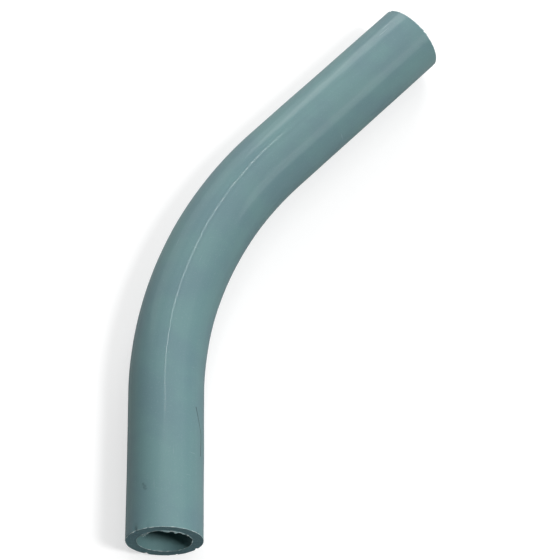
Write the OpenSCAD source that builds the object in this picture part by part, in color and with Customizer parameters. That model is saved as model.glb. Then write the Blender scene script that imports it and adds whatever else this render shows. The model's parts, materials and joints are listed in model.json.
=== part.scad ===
// Rigid PVC conduit elbow with plain ends, trade size 1/2 (metric 16), heavy wall.
// It is one length of extruded tube, bent hot round a former and sawn off at both ends.
//
// Frame: the origin is the centre of the short leg's mouth. The short leg runs along +Y, and the
// bend turns towards +X in the XY plane, so the elbow lies on its side with +Z up.

/* [Tube] */
// Outside diameter, which slides into a coupling's socket
tube_od = 21.34; // [16:0.01:33]
// Thickness of the wall
wall = 3; // [1.5:0.1:5]

/* [Bend] */
// Angle that the bend turns through, in degrees
bend_angle = 45; // [45, 90]
// Radius of the bend at the tube's centre line
bend_radius = 108; // [60:1:250]

/* [Legs] */
// Straight length from the short leg's mouth to the bend
short_leg = 44; // [20:1:150]
// Straight length from the bend to the long leg's mouth
long_leg = 59; // [20:1:150]

/* [Hidden] */

// Facets of a full circle, fine enough that the wall reads as round.
$fn = 96;

outer_radius = tube_od / 2;
bore_radius = outer_radius - wall;

// How far the bore's cutter runs past each end of a straight length.
cutter_overrun = 1;

// A straight length of the conduit along +Y, from y = 0. The half turn about its own axis puts the
// cylinders' seams on the outside of the bend, in line with the bend's seams.
module straight_tube(length) {
    rotate([-90, 180, 0])
        difference() {
            cylinder(r = outer_radius, h = length);
            translate([0, 0, -cutter_overrun])
                cylinder(r = bore_radius, h = length + 2 * cutter_overrun);
        }
}

// The bent length, turned about the origin, from the -X axis round towards +Y.
module bent_tube() {
    rotate([0, 0, 180 - bend_angle])
        rotate_extrude(angle = bend_angle)
            translate([bend_radius, 0])
                difference() {
                    circle(r = outer_radius);
                    circle(r = bore_radius);
                }
}

// The conduit: the short leg, the bend and the long leg as one wall from mouth to mouth. The bend
// and the long leg are both placed from the former's centre, so their ends meet face to face.
module elbow_tube() {
    former_centre = [bend_radius, short_leg, 0];
    color([0.44, 0.57, 0.58])
        union() {
            straight_tube(short_leg);
            translate(former_centre)
                bent_tube();
            translate(former_centre)
                rotate([0, 0, -bend_angle])
                    translate([-bend_radius, 0, 0])
                        straight_tube(long_leg);
        }
}

elbow_tube();
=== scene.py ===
import json
import math

import bpy
import numpy as np
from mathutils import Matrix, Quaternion, Vector, noise


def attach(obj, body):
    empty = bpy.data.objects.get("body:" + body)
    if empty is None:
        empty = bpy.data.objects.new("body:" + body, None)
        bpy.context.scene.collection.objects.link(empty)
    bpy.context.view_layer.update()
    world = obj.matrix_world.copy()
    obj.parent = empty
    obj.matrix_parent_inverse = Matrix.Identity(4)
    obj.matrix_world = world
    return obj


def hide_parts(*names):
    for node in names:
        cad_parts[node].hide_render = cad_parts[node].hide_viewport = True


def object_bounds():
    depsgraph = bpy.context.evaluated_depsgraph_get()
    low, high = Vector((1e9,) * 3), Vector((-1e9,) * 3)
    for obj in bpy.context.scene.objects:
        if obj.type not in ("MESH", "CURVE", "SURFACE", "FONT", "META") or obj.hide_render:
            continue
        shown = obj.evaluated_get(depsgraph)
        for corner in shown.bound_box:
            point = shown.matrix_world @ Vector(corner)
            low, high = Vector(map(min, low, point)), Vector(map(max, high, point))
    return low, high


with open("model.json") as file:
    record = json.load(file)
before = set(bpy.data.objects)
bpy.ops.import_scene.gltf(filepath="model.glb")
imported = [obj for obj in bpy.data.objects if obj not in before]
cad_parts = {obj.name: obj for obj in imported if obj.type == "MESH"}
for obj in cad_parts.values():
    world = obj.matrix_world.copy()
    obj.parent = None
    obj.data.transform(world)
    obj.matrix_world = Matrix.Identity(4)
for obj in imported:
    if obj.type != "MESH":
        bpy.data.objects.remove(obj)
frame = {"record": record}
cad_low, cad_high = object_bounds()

# ---- The conduit --------------------------------------------------------------------------------
# One length of rigid grey PVC tube with a thick wall. It is extruded through a round die, warmed
# until it is soft, bent round a former and sawn to length at both ends.

mounts = {mount["name"]: mount for mount in frame["record"]["mounts"]}
millimetre = 0.001
outer_radius = mounts["short_end_spigot"]["dims"]["r_mm"] * millimetre
bore_radius = mounts["short_end_bore"]["dims"]["r_mm"] * millimetre
wall = outer_radius - bore_radius
short_leg = mounts["short_end_spigot"]["dims"]["length_mm"] * millimetre
long_leg = mounts["long_end_spigot"]["dims"]["length_mm"] * millimetre
short_mouth = Vector(mounts["short_end_bore"]["pos_m"])
short_outwards = Vector(mounts["short_end_bore"]["axis"])
long_mouth = Vector(mounts["long_end_bore"]["pos_m"])
long_outwards = Vector(mounts["long_end_bore"]["axis"])
bend_angle = math.atan2(long_outwards.x, long_outwards.y)
bend_radius = (long_mouth.x - long_leg * math.sin(bend_angle)) / (1 - math.cos(bend_angle))
former_centre = Vector((bend_radius, short_leg, 0))

tube_sides = 160
ring_spacing = 1.25 * millimetre
edge_break = 0.1 * millimetre
# Rings worked into each sawn face, as distances from the ring before. The first one breaks the edge.
sawn_face_rings = (edge_break, 0.3 * millimetre, 0.4 * millimetre, 0.5 * millimetre)


def deselect_everything():
    if bpy.context.object and bpy.context.object.mode != "OBJECT":
        bpy.ops.object.mode_set(mode="OBJECT")
    bpy.ops.object.select_all(action="DESELECT")


def ring_at(name, mouth, outwards, radius, sides):
    """A new object: a bare ring of edges square to outwards, with its place kept in the mesh."""
    deselect_everything()
    turned = outwards.to_track_quat("Z", "Y").to_euler()
    bpy.ops.mesh.primitive_circle_add(
        vertices=sides, radius=radius, location=mouth, rotation=turned
    )
    ring = bpy.context.object
    ring.name = name
    ring.data.name = name
    bpy.ops.object.transform_apply(location=True, rotation=True, scale=True)
    return ring


def apply_modifier(piece, kind, **settings):
    modifier = piece.modifiers.new(kind.title(), kind)
    for setting, value in settings.items():
        setattr(modifier, setting, value)
    bpy.ops.object.modifier_apply(modifier=modifier.name)


def pull_straight(length, direction):
    """Extrudes the selected ring along direction in even steps, leaving the last ring selected."""
    steps = round(length / ring_spacing)
    for _ in range(steps):
        bpy.ops.mesh.extrude_region_move(
            TRANSFORM_OT_translate={"value": direction * (length / steps)}
        )


def cloud_texture(name, grain_size, depth):
    texture = bpy.data.textures.new(name, "CLOUDS")
    texture.noise_scale = grain_size
    texture.noise_depth = depth
    return texture


tube = ring_at(
    name="conduit_tube",
    mouth=short_mouth - short_outwards * edge_break,
    outwards=short_outwards,
    radius=outer_radius,
    sides=tube_sides,
)
bpy.ops.object.mode_set(mode="EDIT")
bpy.ops.mesh.select_all(action="SELECT")
pull_straight(short_leg - edge_break, -short_outwards)
bpy.ops.mesh.spin(
    steps=round(bend_radius * bend_angle / ring_spacing),
    angle=bend_angle,
    center=former_centre,
    axis=(0, 0, 1),
)
pull_straight(long_leg - edge_break, long_outwards)
bpy.ops.mesh.select_all(action="SELECT")
bpy.ops.mesh.normals_make_consistent(inside=False)
bpy.ops.object.mode_set(mode="OBJECT")

# The warm wall is never quite even once it has been bent.
apply_modifier(
    tube,
    "DISPLACE",
    texture=cloud_texture("uneven wall", grain_size=22 * millimetre, depth=1),
    strength=0.16 * millimetre,
    mid_level=0.5,
)

# The wall is given its thickness towards the bore. The new faces at the mouths take slot 1.
for slot_name in ("skin", "sawn face"):
    tube.data.materials.append(bpy.data.materials.new(slot_name))
apply_modifier(tube, "SOLIDIFY", thickness=wall, offset=-1, material_offset_rim=1)
bpy.ops.object.mode_set(mode="EDIT")
bpy.ops.mesh.select_mode(type="FACE")
for mouth, outwards in ((short_mouth, short_outwards), (long_mouth, long_outwards)):
    bpy.ops.mesh.select_all(action="DESELECT")
    bpy.ops.object.mode_set(mode="OBJECT")
    for face in tube.data.polygons:
        at_this_mouth = (Vector(face.center) - mouth).length < 2 * outer_radius
        face.select = face.material_index == 1 and at_this_mouth
    bpy.ops.object.mode_set(mode="EDIT")
    for step, ring_gap in enumerate(sawn_face_rings):
        bpy.ops.mesh.inset(thickness=ring_gap, depth=0)
        if step == 0:
            bpy.ops.transform.translate(value=outwards * edge_break)
    bpy.ops.object.vertex_group_assign_new()
bpy.ops.mesh.select_mode(type="EDGE")
bpy.ops.object.mode_set(mode="OBJECT")

# The saw leaves both faces slightly torn.
for sawn_group in tube.vertex_groups:
    apply_modifier(
        tube,
        "DISPLACE",
        texture=cloud_texture("saw tear", grain_size=0.7 * millimetre, depth=2),
        strength=0.14 * millimetre,
        mid_level=0.5,
        vertex_group=sawn_group.name,
    )

# It also chips small bites out of both outer edges: (degrees round from +X, radius in mm) each.
short_end_chips = ((134, 1.0), (112, 0.5), (163, 0.6), (28, 0.6), (-38, 0.7), (-75, 0.5), (-122, 0.7))
long_end_chips = ((37, 0.5), (120, 0.35), (-15, 0.7), (-88, 0.6), (-160, 0.8))


def chip_outer_edge(piece, mouth, outwards, chips):
    """Presses the piece inwards round each chip, most of all on the mouth's outer edge."""
    depth_share = 0.55
    across = Vector((0, 0, 1)).cross(outwards)
    for degrees_round, chip_radius in chips:
        angle = math.radians(degrees_round)
        spoke = across * math.cos(angle) + Vector((0, 0, math.sin(angle)))
        chip_at = mouth + spoke * outer_radius
        reach = chip_radius * millimetre
        pressed = (-spoke - outwards).normalized() * depth_share * reach
        for vertex in piece.data.vertices:
            nearness = 1 - (vertex.co - chip_at).length / reach
            if nearness > 0:
                vertex.co += pressed * nearness


chip_outer_edge(tube, short_mouth, short_outwards, short_end_chips)
chip_outer_edge(tube, long_mouth, long_outwards, long_end_chips)
bpy.ops.object.shade_smooth_by_angle(angle=math.radians(35))


def as_extruded(points):
    """Where each point lay on the straight tube before it was bent: across, along and up."""
    x, y, z = points.T
    turn = np.clip(np.arctan2(y - former_centre.y, former_centre.x - x), 0, bend_angle)
    from_centre_x = x - former_centre.x + bend_radius * np.cos(turn)
    from_centre_y = y - former_centre.y - bend_radius * np.sin(turn)
    past_section = from_centre_x * np.sin(turn) + from_centre_y * np.cos(turn)
    across = from_centre_x * np.cos(turn) - from_centre_y * np.sin(turn)
    along = short_leg + bend_radius * turn + past_section
    return np.stack([across, along, z], axis=1)


def record_extruded_place(piece):
    """Keeps the straight tube's coordinates on the piece, for patterns that the die left."""
    points = np.zeros(len(piece.data.vertices) * 3)
    piece.data.vertices.foreach_get("co", points)
    places = piece.data.attributes.new("as_extruded", "FLOAT_VECTOR", "POINT")
    places.data.foreach_set("vector", as_extruded(points.reshape(-1, 3)).ravel())


record_extruded_place(tube)


def add_node(tree, kind, **settings):
    node = tree.nodes.new(kind)
    for setting, value in settings.items():
        setattr(node, setting, value)
    return node


def set_inputs(node, **values):
    for name, value in values.items():
        node.inputs[name.replace("_", " ")].default_value = value


def noise_node(tree, vector, scale, detail, roughness=0.5):
    node = add_node(tree, "ShaderNodeTexNoise")
    set_inputs(node, Scale=scale, Detail=detail, Roughness=roughness)
    tree.links.new(vector, node.inputs["Vector"])
    return node.outputs["Fac"]


def stretched(tree, vector, scale, rotation=(0, 0, 0)):
    node = add_node(tree, "ShaderNodeMapping")
    set_inputs(node, Scale=scale, Rotation=rotation)
    tree.links.new(vector, node.inputs["Vector"])
    return node.outputs["Vector"]


def remapped(tree, value, span, to_span=(0, 1), smooth=False):
    node = add_node(tree, "ShaderNodeMapRange")
    if smooth:
        node.interpolation_type = "SMOOTHSTEP"
    for socket, number in zip(node.inputs[1:5], (*span, *to_span)):
        socket.default_value = number
    tree.links.new(value, node.inputs["Value"])
    return node.outputs["Result"]


def join_inputs(tree, sockets, values):
    """Each value is either another node's output, which is linked, or a plain setting."""
    for socket, value in zip(sockets, values):
        if isinstance(value, bpy.types.NodeSocket):
            tree.links.new(value, socket)
        else:
            socket.default_value = value


def combined(tree, operation, first, second):
    node = add_node(tree, "ShaderNodeMath", operation=operation)
    join_inputs(tree, node.inputs, (first, second))
    return node.outputs["Value"]


def tinted(tree, mask, base, tint):
    node = add_node(tree, "ShaderNodeMix", data_type="RGBA")
    join_inputs(tree, (node.inputs[0], node.inputs[6], node.inputs[7]), (mask, base, tint))
    return node.outputs[2]


def bumped(tree, height, strength, depth, normal=None):
    node = add_node(tree, "ShaderNodeBump")
    set_inputs(node, Strength=strength, Distance=depth)
    tree.links.new(height, node.inputs["Height"])
    if normal is not None:
        tree.links.new(normal, node.inputs["Normal"])
    return node.outputs["Normal"]


def near_line(tree, place, start, end, half_width):
    """1 near the line between two points of the straight tube, in mm, and 0 beyond half_width."""
    start = Vector(start) * millimetre
    line = Vector(end) * millimetre - start
    from_start = add_node(tree, "ShaderNodeVectorMath", operation="SUBTRACT")
    join_inputs(tree, from_start.inputs, (place, start))
    progress = add_node(tree, "ShaderNodeVectorMath", operation="DOT_PRODUCT")
    join_inputs(tree, progress.inputs, (from_start.outputs["Vector"], line.normalized()))
    held = combined(tree, "MINIMUM", progress.outputs["Value"], line.length)
    held = combined(tree, "MAXIMUM", held, 0)
    nearest = add_node(tree, "ShaderNodeVectorMath", operation="SCALE")
    join_inputs(tree, (nearest.inputs[0], nearest.inputs["Scale"]), (line.normalized(), held))
    off = add_node(tree, "ShaderNodeVectorMath", operation="DISTANCE")
    join_inputs(tree, off.inputs, (from_start.outputs["Vector"], nearest.outputs["Vector"]))
    edge = half_width * millimetre
    return remapped(tree, off.outputs["Value"], (0.4 * edge, edge), (1, 0), smooth=True)


def pvc_compound_group():
    """The grey compound itself: faint clouds of pigment and the speckle of its chalk filler."""
    green_tinge = (0.150, 0.300, 0.275, 1)
    chalk_grey = (0.32, 0.42, 0.43, 1)
    group = bpy.data.node_groups.new("pvc compound", "ShaderNodeTree")
    for name, direction, kind in (
        ("Place", "INPUT", "NodeSocketVector"),
        ("Grey", "INPUT", "NodeSocketColor"),
        ("Cloudiness", "INPUT", "NodeSocketFloat"),
        ("Color", "OUTPUT", "NodeSocketColor"),
    ):
        group.interface.new_socket(name, in_out=direction, socket_type=kind)
    given = add_node(group, "NodeGroupInput")
    result = add_node(group, "NodeGroupOutput")
    place = given.outputs["Place"]
    clouds = noise_node(group, place, scale=75, detail=3, roughness=0.55)
    clouds = remapped(group, clouds, (0.35, 0.65), smooth=True)
    clouds = combined(group, "MULTIPLY", clouds, given.outputs["Cloudiness"])
    clouded = tinted(group, clouds, given.outputs["Grey"], green_tinge)
    speckle = remapped(group, noise_node(group, place, scale=2600, detail=2), (0.58, 0.75), (0, 0.16))
    group.links.new(tinted(group, speckle, clouded, chalk_grey), result.inputs["Color"])
    return group


pvc_compound = pvc_compound_group()


def begin_pvc(material, grey, cloudiness):
    """Empties the material and puts the compound into it. Gives its tree, shader, place and colour."""
    material.use_nodes = True
    tree = material.node_tree
    tree.nodes.clear()
    output = add_node(tree, "ShaderNodeOutputMaterial")
    shader = add_node(tree, "ShaderNodeBsdfPrincipled")
    tree.links.new(shader.outputs["BSDF"], output.inputs["Surface"])
    place = add_node(tree, "ShaderNodeAttribute", attribute_name="as_extruded").outputs["Vector"]
    compound = add_node(tree, "ShaderNodeGroup", node_tree=pvc_compound)
    set_inputs(compound, Grey=grey, Cloudiness=cloudiness)
    tree.links.new(place, compound.inputs["Place"])
    return tree, shader, place, compound.outputs["Color"]


# The skin is satin from the die, with faint lines along the tube, and is scuffed by handling.
skin_grey = (0.124, 0.222, 0.243, 1)
die_line_grey = (0.11, 0.20, 0.22, 1)
scuff_grey = (0.34, 0.44, 0.45, 1)
tree, shader, place, colour = begin_pvc(tube.data.materials[0], skin_grey, cloudiness=0.35)
along_die = stretched(tree, place, (1, 0.012, 1))
die_lines = noise_node(tree, along_die, scale=1100, detail=3, roughness=0.6)
peel = noise_node(tree, place, scale=700, detail=2)
along_tube = stretched(tree, place, (1, 0.05, 1), rotation=(0.05, 0, 0.07))
lengthwise = noise_node(tree, along_tube, scale=1500, detail=2)
lengthwise = remapped(tree, lengthwise, (0.70, 0.78), smooth=True)
round_tube = stretched(tree, place, (0.08, 1, 0.08), rotation=(0, 0, 0.5))
crosswise = noise_node(tree, round_tube, scale=1300, detail=2)
crosswise = remapped(tree, crosswise, (0.71, 0.79), smooth=True)
handled = remapped(tree, noise_node(tree, place, scale=55, detail=2), (0.5, 0.68), smooth=True)
scuffs = combined(tree, "MULTIPLY", combined(tree, "MAXIMUM", lengthwise, crosswise), handled)
colour = tinted(tree, remapped(tree, die_lines, (0.3, 0.7), (0, 0.14)), colour, die_line_grey)
colour = tinted(tree, combined(tree, "MULTIPLY", scuffs, 0.5), colour, scuff_grey)

# A dark hairline scratch on the inner side of the short leg, and a smudge near its mouth.
mark_grey = (0.045, 0.080, 0.090, 1)
hairline = combined(
    tree,
    "MAXIMUM",
    near_line(tree, place, (8.75, 37.0, 6.1), (10.0, 29.6, 3.7), half_width=0.24),
    near_line(tree, place, (10.0, 29.6, 3.7), (9.9, 23.2, 4.0), half_width=0.24),
)
blotches = noise_node(tree, place, scale=1500, detail=2)
smudge = combined(
    tree,
    "MULTIPLY",
    near_line(tree, place, (-5.3, 13.0, 9.3), (-4.7, 11.6, 9.6), half_width=0.75),
    remapped(tree, blotches, (0.4, 0.6), (0.08, 0.42), smooth=True),
)
marks = combined(tree, "MAXIMUM", combined(tree, "MULTIPLY", hairline, 0.95), smudge)
colour = tinted(tree, marks, colour, mark_grey)
tree.links.new(colour, shader.inputs["Base Color"])

die_line_roughness = remapped(tree, die_lines, (0.3, 0.7), (0.54, 0.62))
scuff_roughness = combined(tree, "MULTIPLY", scuffs, 0.2)
skin_roughness = combined(tree, "ADD", die_line_roughness, scuff_roughness)
tree.links.new(skin_roughness, shader.inputs["Roughness"])
skin_normal = bumped(tree, die_lines, strength=0.25, depth=0.01 * millimetre)
skin_normal = bumped(tree, peel, strength=0.2, depth=0.02 * millimetre, normal=skin_normal)
skin_normal = bumped(tree, scuffs, strength=0.3, depth=0.02 * millimetre, normal=skin_normal)
tree.links.new(skin_normal, shader.inputs["Normal"])
shader.inputs["Specular IOR Level"].default_value = 0.35
shader.inputs["Coat Weight"].default_value = 0.20
shader.inputs["Coat Roughness"].default_value = 0.10

# A sawn face is matt, with the blade's tracks straight across it and paler torn crumbs.
# Its base grey is painted darker than the skin's: painted shade, as the sawn faces look away from the
# main lights.
sawn_grey_with_painted_shade = (0.066, 0.160, 0.186, 1)
track_grey = (0.045, 0.105, 0.125, 1)
crumb_grey = (0.20, 0.32, 0.34, 1)
tree, shader, place, colour = begin_pvc(tube.data.materials[1], sawn_grey_with_painted_shade, cloudiness=0.2)
along_blade = stretched(tree, place, (0.06, 1, 1), rotation=(0, 0.2, 0))
blade_tracks = noise_node(tree, along_blade, scale=2600, detail=3, roughness=0.6)
crumbs = noise_node(tree, place, scale=1250, detail=4, roughness=0.7)
torn = remapped(tree, crumbs, (0.52, 0.68), (0, 0.62), smooth=True)
colour = tinted(tree, remapped(tree, blade_tracks, (0.35, 0.65), (0, 0.6)), colour, track_grey)
colour = tinted(tree, torn, colour, crumb_grey)
tree.links.new(colour, shader.inputs["Base Color"])
tree.links.new(remapped(tree, crumbs, (0.3, 0.7), (0.62, 0.85)), shader.inputs["Roughness"])
sawn_normal = bumped(tree, blade_tracks, strength=0.6, depth=0.06 * millimetre)
sawn_normal = bumped(tree, crumbs, strength=0.6, depth=0.08 * millimetre, normal=sawn_normal)
tree.links.new(sawn_normal, shader.inputs["Normal"])

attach(tube, "root")
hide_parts("elbow_tube")

# ---- The saw burrs --------------------------------------------------------------------------------
# A ragged lip of torn PVC that the saw leaves round the edges of each mouth. It is part of the tube's
# own wall, goes pale where it is stretched thin, and was never trimmed off.

burr_grey = (0.24, 0.36, 0.37, 1)
stretched_pale = (0.50, 0.60, 0.60, 1)
burr_material = bpy.data.materials.new("torn burr")
tree, shader, place, colour = begin_pvc(burr_material, burr_grey, cloudiness=0.1)
thinness = remapped(tree, noise_node(tree, place, scale=900, detail=2), (0.45, 0.62), smooth=True)
tree.links.new(tinted(tree, thinness, colour, stretched_pale), shader.inputs["Base Color"])
tree.links.new(remapped(tree, thinness, (0, 1), (0.5, 0.7)), shader.inputs["Roughness"])

burr_sides = 320
burr_rings = 3
burr_thickness = 0.08 * millimetre


def burr_lip(name, mouth, outwards, radius, reach, droop, tears, chips, seed):
    """A thin torn lip round a mouth's edge. About reach high, it leans into the bore by about droop,
    most of all at the tears, which are (degrees round from +X, half width in degrees) pairs. It
    follows the chips that the outer edge has lost."""
    root = mouth - outwards * edge_break
    across = Vector((0, 0, 1)).cross(outwards)
    lip = ring_at(name, root, outwards, radius, burr_sides)
    bpy.ops.object.mode_set(mode="EDIT")
    bpy.ops.mesh.select_all(action="SELECT")
    for _ in range(burr_rings):
        bpy.ops.mesh.extrude_region_move(
            TRANSFORM_OT_translate={"value": outwards * (reach / burr_rings)}
        )
    bpy.ops.object.mode_set(mode="OBJECT")
    for vertex in lip.data.vertices:
        height = (vertex.co - root).dot(outwards)
        foot = vertex.co - outwards * height
        spoke = (foot - root).normalized()
        share = height / reach
        round_from_x = math.degrees(math.atan2(spoke.z, spoke.dot(across)))
        torn = 0.0
        for tear_at, half_width in tears:
            off = (round_from_x - tear_at + 180) % 360 - 180
            torn = max(torn, math.exp(-((off / half_width) ** 2)))
        finest = noise.noise((foot - root) / (0.27 * millimetre) + Vector((0, 0, seed)))
        fine = noise.noise((foot - root) / (0.75 * millimetre) + Vector((0, seed, 0)))
        coarse = noise.noise((foot - root) / (2.1 * millimetre) + Vector((seed, 0, 0)))
        ragged = 0.16 + 0.45 * coarse + 0.4 * fine + 0.25 * finest
        ragged = max(0.06, ragged + torn * (0.55 + 0.5 * fine + 0.9 * finest))
        rise = (reach * ragged + edge_break) * share
        vertex.co = foot + outwards * rise - spoke * (droop * ragged * share * share)
    chip_outer_edge(lip, mouth, outwards, chips)
    apply_modifier(lip, "SOLIDIFY", thickness=burr_thickness, offset=0)
    bpy.ops.object.shade_smooth_by_angle(angle=math.radians(50))
    record_extruded_place(lip)
    lip.data.materials.append(burr_material)
    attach(lip, "root")


short_end_tears = ((137, 10), (79, 8), (62, 4), (42, 6), (-60, 6))
long_end_tears = ((120, 12), (15, 9), (-110, 10))
for end_name, mouth, outwards, tears, chips, seed in (
    ("short_end", short_mouth, short_outwards, short_end_tears, short_end_chips, 3.7),
    ("long_end", long_mouth, long_outwards, long_end_tears, long_end_chips, 11.3),
):
    burr_lip(
        name=end_name + "_bore_burr",
        mouth=mouth,
        outwards=outwards,
        radius=bore_radius + 0.04 * millimetre,
        reach=0.4 * millimetre,
        droop=0.55 * millimetre,
        tears=tears,
        chips=(),
        seed=seed,
    )
    burr_lip(
        name=end_name + "_rim_burr",
        mouth=mouth,
        outwards=outwards,
        radius=outer_radius - 0.06 * millimetre,
        reach=0.16 * millimetre,
        droop=0.0,
        tears=tears[:1],
        chips=chips,
        seed=seed + 5,
    )

# ---- The studio -----------------------------------------------------------------------------------
# A pale table in a dark room. Soft lights stand behind, to the right, in front and overhead, and one
# long narrow lamp draws the thin highlight along the bend.

deselect_everything()
bpy.ops.mesh.primitive_plane_add(size=6, location=(cad_high.x / 2, cad_high.y / 2, cad_low.z))
floor = bpy.context.object
floor.name = "floor"

# The table glows for the camera alone, so it looks white without lighting the conduit.
floor_glow_strength = 0.55
floor_paint = bpy.data.materials.new("floor paint")
floor_paint.use_nodes = True
floor_tree = floor_paint.node_tree
floor_shader = floor_tree.nodes["Principled BSDF"]
floor_shader.inputs["Base Color"].default_value = (0.50, 0.50, 0.50, 1)
floor_shader.inputs["Roughness"].default_value = 0.9
floor_shader.inputs["Specular IOR Level"].default_value = 0.1
floor_shader.inputs["Emission Color"].default_value = (1, 1, 1, 1)
seen_by_camera = add_node(floor_tree, "ShaderNodeLightPath").outputs["Is Camera Ray"]
floor_glow = combined(floor_tree, "MULTIPLY", seen_by_camera, floor_glow_strength)
floor_tree.links.new(floor_glow, floor_shader.inputs["Emission Strength"])
floor.data.materials.append(floor_paint)

cad_size = cad_high - cad_low
middle = (cad_low + cad_high) / 2


def softbox(name, towards, distance, width, length, watts):
    """A rectangular light that stands at distance from the elbow in the direction towards."""
    light = bpy.data.lights.new(name, "AREA")
    light.shape = "RECTANGLE"
    light.size = width
    light.size_y = length
    light.energy = watts
    lamp = bpy.data.objects.new(name, light)
    away = Vector(towards).normalized()
    lamp.location = middle + away * distance
    lamp.rotation_euler = away.to_track_quat("Z", "Y").to_euler()
    bpy.context.scene.collection.objects.link(lamp)


for name, towards, distance, width, length, watts in (
    ("back window", (0.04, 0.90, 0.45), 1.6, 1.2, 0.8, 18),
    ("back left window", (-0.55, 0.75, 0.35), 1.6, 1.0, 0.8, 4.3),
    ("right window", (0.50, 0.45, 0.74), 1.8, 1.4, 1.4, 5.6),
    ("front softbox", (0.50, -0.31, 0.81), 1.6, 0.3, 0.3, 14.5),
    ("right front softbox", (0.80, -0.20, 0.55), 1.6, 0.6, 0.6, 3.7),
    ("overhead", (0.0, 0.10, 1.0), 1.6, 1.0, 1.0, 3.3),
    ("strip", (-0.02, 0.465, 0.885), 1.5, 0.04, 0.26, 1.1),
):
    softbox(name, towards, distance, width, length, watts)

room = bpy.data.worlds.new("room")
room.use_nodes = True
room.node_tree.nodes["Background"].inputs["Color"].default_value = (0.85, 0.92, 1.0, 1)
room.node_tree.nodes["Background"].inputs["Strength"].default_value = 0.02
bpy.context.scene.world = room
bpy.context.scene.view_settings.view_transform = "Standard"

# The camera looks down steeply along the short leg, from in front of its mouth.
camera_lens = bpy.data.cameras.new("camera")
camera_lens.sensor_width = 36
camera_lens.lens = 143.9
camera = bpy.data.objects.new("camera", camera_lens)
camera_azimuth = math.radians(1.468)
camera_elevation = math.radians(61.926)
camera_roll = math.radians(-2.507)
camera_distance = 0.6455
camera_back = Vector(
    (
        math.sin(camera_azimuth) * math.cos(camera_elevation),
        -math.cos(camera_azimuth) * math.cos(camera_elevation),
        math.sin(camera_elevation),
    )
)
aim_share = Vector((0.4710, 0.4696, 0.5))
aim = cad_low + Vector(size * share for size, share in zip(cad_size, aim_share))
camera.location = aim + camera_back * camera_distance
level_turn = (-camera_back).to_track_quat("-Z", "Y")
camera.rotation_euler = (level_turn @ Quaternion((0, 0, 1), camera_roll)).to_euler()
camera_lens.clip_start = 0.01
camera_lens.clip_end = 20
bpy.context.scene.collection.objects.link(camera)
bpy.context.scene.camera = camera
